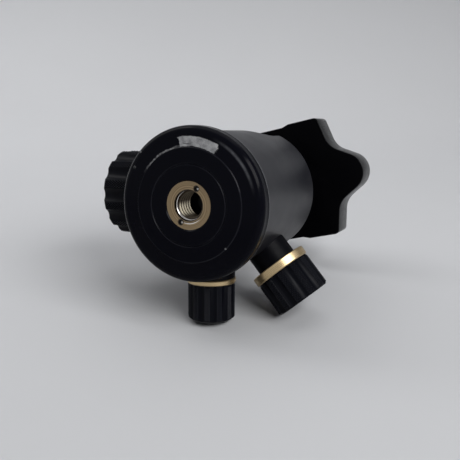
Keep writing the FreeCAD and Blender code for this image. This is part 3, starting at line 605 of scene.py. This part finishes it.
def paint_nodes():
    """Finishes every CAD node, and returns the finishes by the names of the nodes."""
    enamel, satin = gloss_black_paint(), satin_black()
    screw = steel("screw_steel", 0.55, 0.32)
    # The PTFE washers are painted near black, as painted shade in the gaps where they show between the parts
    acetal, ptfe = plastic("acetal", 0.03, 0.4), plastic("ptfe", 0.02, 0.5)
    finishes = {
        "base_plate": enamel, "thread_insert": brass(), "pan_bearing_washer": ptfe, "pan_upper_washer": ptfe,
        "pan_retaining_disc": screw, "pan_retaining_screw": steel("blackened_steel", 0.03, 0.5), "housing": satin,
        "seat_spring": steel("spring_steel", 0.3, 0.35), "lift_ring": screw, "lower_ball_seat": acetal,
        "upper_ball_collar": acetal, "ball_retaining_ring": satin, "pan_brake_shoe": screw,
        "pan_lock_screw": screw, "pan_ring": gold("pan_gold", PAN_KNOB),
        "pan_lock_grip": knob_black("pan_black", PAN_GRIP), "main_plunger": screw, "main_lock_screw": screw,
        "main_ring": gold("main_gold", MAIN_KNOB), "main_lock_knob": knob_black("main_black", MAIN_GRIP),
        "main_fixing_screw": screw, "main_lock_cap": enamel, "friction_plunger": screw, "friction_screw": screw,
        "friction_ring": gold("friction_gold", FRICTION_KNOB),
        "friction_grip": knob_black("friction_black", FRICTION_GRIP), "ball": satin, "stem": satin,
        "platform": platform_black(), "rubber_pad": rubber(), "camera_stud": screw, "platform_washer": ptfe,
    }
    for name, material in finishes.items():
        mesh = NODES[name].data
        mesh.materials.clear()
        mesh.materials.append(material)
    return finishes


# Pieces

def give(piece, material, body, slot, *replaced):
    """Finishes a piece: its material, the body it rides on and the nodes it stands for. Its slot is not used."""
    piece.data.materials.clear()
    piece.data.materials.append(material)
    for polygon in piece.data.polygons:
        polygon.material_index = 0
    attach(piece, body)
    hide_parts(*replaced)


def finish_part(piece, material, rule):
    """Gives a second material to the polygons that meet a rule."""
    piece.data.materials.append(material)
    for polygon in piece.data.polygons:
        if rule(polygon):
            polygon.material_index = 1


def make_housing(material, boss_material):
    """The housing again, so that its three bosses can have a black of their own."""
    past_barrel = 23.35 * MM
    shell = copy_of("housing", "housing_shell", whole_faces=False)
    smooth(shell, 30)
    give(shell, material, "housing", "satin_black", "housing")
    finish_part(shell, boss_material, lambda polygon: from_axis(polygon.center) > past_barrel)


def make_thread_insert(material):
    """The insert with its 3/8 inch thread: the bore opened out, and the thread's ridge wound up it.

    The floors of its spanner holes come nearer to its face, and the ridge is turned half way round.
    """
    bore_reach, opening = 4.4 * MM, 1.2
    holes_from, holes_to = 5.15 * MM, 6.9 * MM
    floors_low, floors_high, floors_shift = 2 * MM, 3 * MM, -1.25 * MM
    insert = copy_of("thread_insert", "insert_with_thread", whole_faces=False)
    choose(insert, lambda place: from_axis(place) < bore_reach)
    bpy.ops.transform.resize(value=(opening, opening, 1), center_override=(0, 0, 0))
    leave_edit()
    choose(insert, lambda place: holes_from < from_axis(place) < holes_to and floors_low < place.z < floors_high)
    bpy.ops.transform.translate(value=(0, 0, floors_shift))
    leave_edit()
    ridge = helical_ridge("insert_thread", root=4.85 * MM, crest=3.97 * MM, pitch=MM_PER_INCH / 16 * MM,
                          low=2.1 * MM, turns=5)
    place_by(ridge, Matrix.Rotation(math.pi, 4, "Z"))
    join(insert, ridge)
    smooth(insert, 30)
    give(insert, material, "base", "brass", "thread_insert")


def make_camera_stud(material):
    """The camera screw: the shank turned down to its core, and the 1/4 inch thread's ridge wound round it."""
    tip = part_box("camera_stud")[1][2]
    flange_top = tip - 6.81 * MM
    shank_reach, core_share = 3.4 * MM, 0.795
    stud = copy_of("camera_stud", "camera_screw")
    choose(stud, lambda place: place.z > flange_top - 0.02 * MM and from_axis(place) < shank_reach)
    bpy.ops.transform.resize(value=(core_share, core_share, 1), center_override=(0, 0, 0))
    leave_edit()
    join(stud, helical_ridge("stud_thread", root=2.45 * MM, crest=3.17 * MM, pitch=MM_PER_INCH / 20 * MM,
                             low=flange_top + 0.9 * MM, turns=4))
    smooth(stud, 30)
    give(stud, material, "platform", "steel", "camera_stud")


def make_pad(material):
    """The rubber pad with soft edges and rows of low ribs that stop short of the camera screw."""
    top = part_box("rubber_pad")[1][2]
    pad = copy_of("rubber_pad", "ribbed_pad")
    round_edges(pad, width=0.4 * MM, segments=3, degrees=50)
    ribs = []
    for row in range(-RIB_ROWS, RIB_ROWS + 1):
        up = row * RIB_SPACING
        clear = math.sqrt(max(0.0, SCREW_CLEARANCE ** 2 - up ** 2))
        length = RIB_END - clear
        for side in (-1, 1):
            bpy.ops.mesh.primitive_cube_add(size=1, location=(side * (clear + length / 2), up, top),
                                            scale=(length, RIB_WIDTH, RIB_HEIGHT))
            rib = named_primitive("rib")
            round_edges(rib, width=0.25 * MM, segments=2, degrees=30)
            place_by(rib, Matrix.Rotation(PLATFORM_TURN, 4, "Z"))
            ribs.append(rib)
    join(pad, *ribs)
    smooth(pad, 40)
    give(pad, material, "platform", "rubber", "rubber_pad")


def make_grip(grip, material):
    """A fluted grip whose lands carry raised diamonds, halfway between its flutes."""
    foot = grip.land_radius - grip.height
    shrink = foot / grip.land_radius
    piece = copy_of(grip.node, grip.name)
    place_by(piece, lying(grip.place).inverted())
    piece.scale = (shrink, shrink, 1)
    settle(piece)
    round_edges(piece, width=0.12 * MM, segments=2, degrees=24, clamp=False)
    strip = knurl_strip(grip.name + "_diamonds", grip.land_width, grip.end - grip.start,
                        grip.across, grip.along, grip.height)
    place_by(strip, Matrix.Translation((foot - LAND_SUNK, 0, (grip.start + grip.end) / 2))
             @ Matrix.Rotation(math.pi / 2, 4, "Y") @ Matrix.Rotation(math.pi / 2, 4, "Z"))
    lands = []
    for i in range(LANDS):
        land = strip.copy()
        land.data = strip.data.copy()
        bpy.context.scene.collection.objects.link(land)
        place_by(land, Matrix.Rotation(math.radians((i + 0.5) * 360 / LANDS), 4, "Z"))
        lands.append(land)
    bpy.data.objects.remove(strip)
    join(piece, *lands)
    place_by(piece, lying(grip.place))
    smooth(piece, 30)
    give(piece, material, grip.body, "knob_black", grip.node)


def make_platform(material, underside_material):
    """The platform with soft edges, and a deeper black on its flat underside as painted shade."""
    plate = copy_of("platform", "wavy_platform")
    round_edges(plate, width=0.35 * MM, segments=3, degrees=50, clamp=False)
    smooth(plate, 30)
    give(plate, material, "platform", "gloss_black", "platform")
    faces_down = -0.95  # the highest Z of a normal that counts as facing down
    # Painted shade: the faces that face down get the deeper black
    finish_part(plate, underside_material, lambda polygon: polygon.normal.z < faces_down)


# Stage, light and camera

# The table and the camera, fitted to the outlines of the base's rings in the photo
TABLE_UP = Vector((-0.0715, 0.983, -0.1695)).normalized()
TABLE_POINT = Vector((0.0, -41.0, 17.1)) * MM
CAMERA_PLACE = Vector((-92.25, 23.364, -175.71)) * MM
CAMERA_RIGHT = Vector((-0.91365892, 0.00664064, 0.40642747))
CAMERA_UP = Vector((0.0685642, 0.98805753, 0.13799009))
CAMERA_AHEAD = Vector((0.40065738, -0.15394225, 0.90320288))
FOCAL_PIXELS = 645.687
PICTURE_PIXELS = 460.0
SENSOR_WIDTH = 36.0

# The stage in metres: half its width, where it starts, its points before the sweep, and the sweep into its wall
STAGE_HALF_WIDTH = 1.5
STAGE_FLAT = (-0.6, -0.3, 0.0)
SWEEP_START, SWEEP_RADIUS, SWEEP_STEPS = 0.25, 0.25, 12
WALL_TOP = 1.2
# The painted light on the paper: its lightness at TABLE_POINT, its change per metre to the right, ahead and up, and
# its limits
PAPER_LIGHT_LEVEL = 0.966
PAPER_LIGHT_SLOPE = (-0.55, 0.83, -2.4)
PAPER_DARKEST, PAPER_LIGHTEST = 0.85, 1.28

# Diffuse light of the room: dim where the Z of its direction is low, which is the side that the base faces
DIM_BELOW, PALE_ABOVE = -0.6, 0.3
ROOM_DIM, ROOM_PALE = 0.03, 0.62
ROOM_TINT = (0.955, 0.975, 1.03, 1)

HEAD_CENTRE = Vector((0, 0, 0.035))
# Lamps: the direction from the head's centre, the distance, the size and the power
LAMPS = {
    "window": ((-0.746, 0.503, -0.43), 0.6, (0.3, 0.45), 2.8),
    "overhead": ((0.1, 1.0, 0.25), 0.7, (0.8, 0.8), 1.5),
    "left_fill": ((0.8, 0.75, 0.1), 1.0, (0.8, 0.8), 5.0),
}


def make_camera():
    """The camera that took the photo."""
    data = bpy.data.cameras.new("photo_camera")
    data.sensor_width = SENSOR_WIDTH
    data.lens = FOCAL_PIXELS * (SENSOR_WIDTH / PICTURE_PIXELS)
    data.clip_start = 0.01
    data.clip_end = 20.0
    camera = bpy.data.objects.new("photo_camera", data)
    bpy.context.scene.collection.objects.link(camera)
    pose = Matrix((CAMERA_RIGHT, CAMERA_UP, -CAMERA_AHEAD)).transposed().to_4x4()
    pose.translation = CAMERA_PLACE
    camera.matrix_world = pose
    bpy.context.scene.camera = camera


def table_paper(right, ahead):
    """Pale paper with painted light, whose lightness follows one straight slope, and which can't be seen from below.
    """
    f = Finish("table_paper")
    colour = f.blend_colour(f.noise(6), (0.588, 0.593, 0.606, 1), (0.628, 0.633, 0.646, 1))
    # Painted light: the paper gets lighter and darker along one straight slope
    slope = right * PAPER_LIGHT_SLOPE[0] + ahead * PAPER_LIGHT_SLOPE[1] + TABLE_UP * PAPER_LIGHT_SLOPE[2]
    change = f.node("ShaderNodeVectorMath", {0: f.place, 1: tuple(slope)}, operation="DOT_PRODUCT").outputs["Value"]
    painted_light = f.maths("ADD", change, PAPER_LIGHT_LEVEL - slope.dot(TABLE_POINT))
    painted_light = f.maths("MINIMUM", f.maths("MAXIMUM", painted_light, PAPER_DARKEST), PAPER_LIGHTEST)
    tinted = f.node("ShaderNodeVectorMath", {0: colour, "Scale": painted_light}, operation="SCALE").outputs[0]
    f.dress(tinted, 0.6, 0.0)
    clear = f.node("ShaderNodeBsdfTransparent", {})
    below = f.node("ShaderNodeNewGeometry", {}).outputs["Backfacing"]
    surface = f.node("ShaderNodeMixShader", {0: below, 1: f.shader.outputs[0], 2: clear.outputs[0]})
    f.feed(f.tree.nodes["Material Output"].inputs["Surface"], surface.outputs[0])
    return f.material


def make_stage():
    """A pale table that sweeps up behind the head."""
    ahead = TABLE_UP.cross(CAMERA_RIGHT).normalized()
    right = ahead.cross(TABLE_UP).normalized()
    profile = [(along, 0.0) for along in STAGE_FLAT]
    for step in range(SWEEP_STEPS + 1):
        turn = math.radians(90 * step / SWEEP_STEPS)
        profile.append((SWEEP_START + SWEEP_RADIUS * math.sin(turn), SWEEP_RADIUS - SWEEP_RADIUS * math.cos(turn)))
    profile.append((SWEEP_START + SWEEP_RADIUS, WALL_TOP))
    points = [TABLE_POINT + right * side + ahead * along + TABLE_UP * up
              for side in (-STAGE_HALF_WIDTH, STAGE_HALF_WIDTH) for along, up in profile]
    count = len(profile)
    faces = [(i, count + i, count + i + 1, i + 1) for i in range(count - 1)]
    mesh = bpy.data.meshes.new("table")
    mesh.from_pydata(points, [], faces)
    mesh.update()
    for polygon in mesh.polygons:
        polygon.use_smooth = True
    mesh.materials.append(table_paper(right, ahead))
    table = bpy.data.objects.new("table", mesh)
    bpy.context.scene.collection.objects.link(table)


def make_world():
    """A room that looks evenly pale, and whose diffuse light is dimmer on the side that the base faces."""
    world = bpy.data.worlds.new("room")
    bpy.context.scene.world = world
    w = Nodes(world)
    direction = w.node("ShaderNodeTexCoord", {}).outputs["Generated"]
    along_pan_axis = w.node("ShaderNodeSeparateXYZ", {0: direction}).outputs[2]
    light = w.remap(along_pan_axis, DIM_BELOW, PALE_ABOVE, ROOM_DIM, ROOM_PALE)
    rays = w.node("ShaderNodeLightPath", {}).outputs
    seen = w.maths("MAXIMUM", w.maths("MAXIMUM", rays["Is Camera Ray"], rays["Is Glossy Ray"]),
                   rays["Is Transmission Ray"])
    back = w.tree.nodes["Background"]
    w.feed(back.inputs["Strength"], w.blend_number(seen, light, ROOM_PALE))
    w.feed(back.inputs["Color"], ROOM_TINT)


def make_lamp(name, direction, distance, size, power):
    """A soft rectangular lamp in a direction from the head."""
    data = bpy.data.lights.new(name, "AREA")
    data.shape = "RECTANGLE"
    data.size, data.size_y = size
    data.energy = power
    lamp = bpy.data.objects.new(name, data)
    bpy.context.scene.collection.objects.link(lamp)
    towards = Vector(direction).normalized()
    lamp.rotation_mode = "QUATERNION"
    lamp.rotation_quaternion = towards.to_track_quat("Z", "Y")
    lamp.location = HEAD_CENTRE + towards * distance


bpy.context.scene.view_settings.view_transform = "Standard"
finishes = paint_nodes()
make_housing(finishes["housing"], boss_black())
make_thread_insert(finishes["thread_insert"])
make_camera_stud(finishes["camera_stud"])
for grip in (MAIN_GRIP, FRICTION_GRIP, PAN_GRIP):
    make_grip(grip, finishes[grip.node])
make_pad(finishes["rubber_pad"])
make_platform(finishes["platform"], underside_shade_black())
make_camera()
make_stage()
make_world()
for name, settings in LAMPS.items():
    make_lamp(name, *settings)
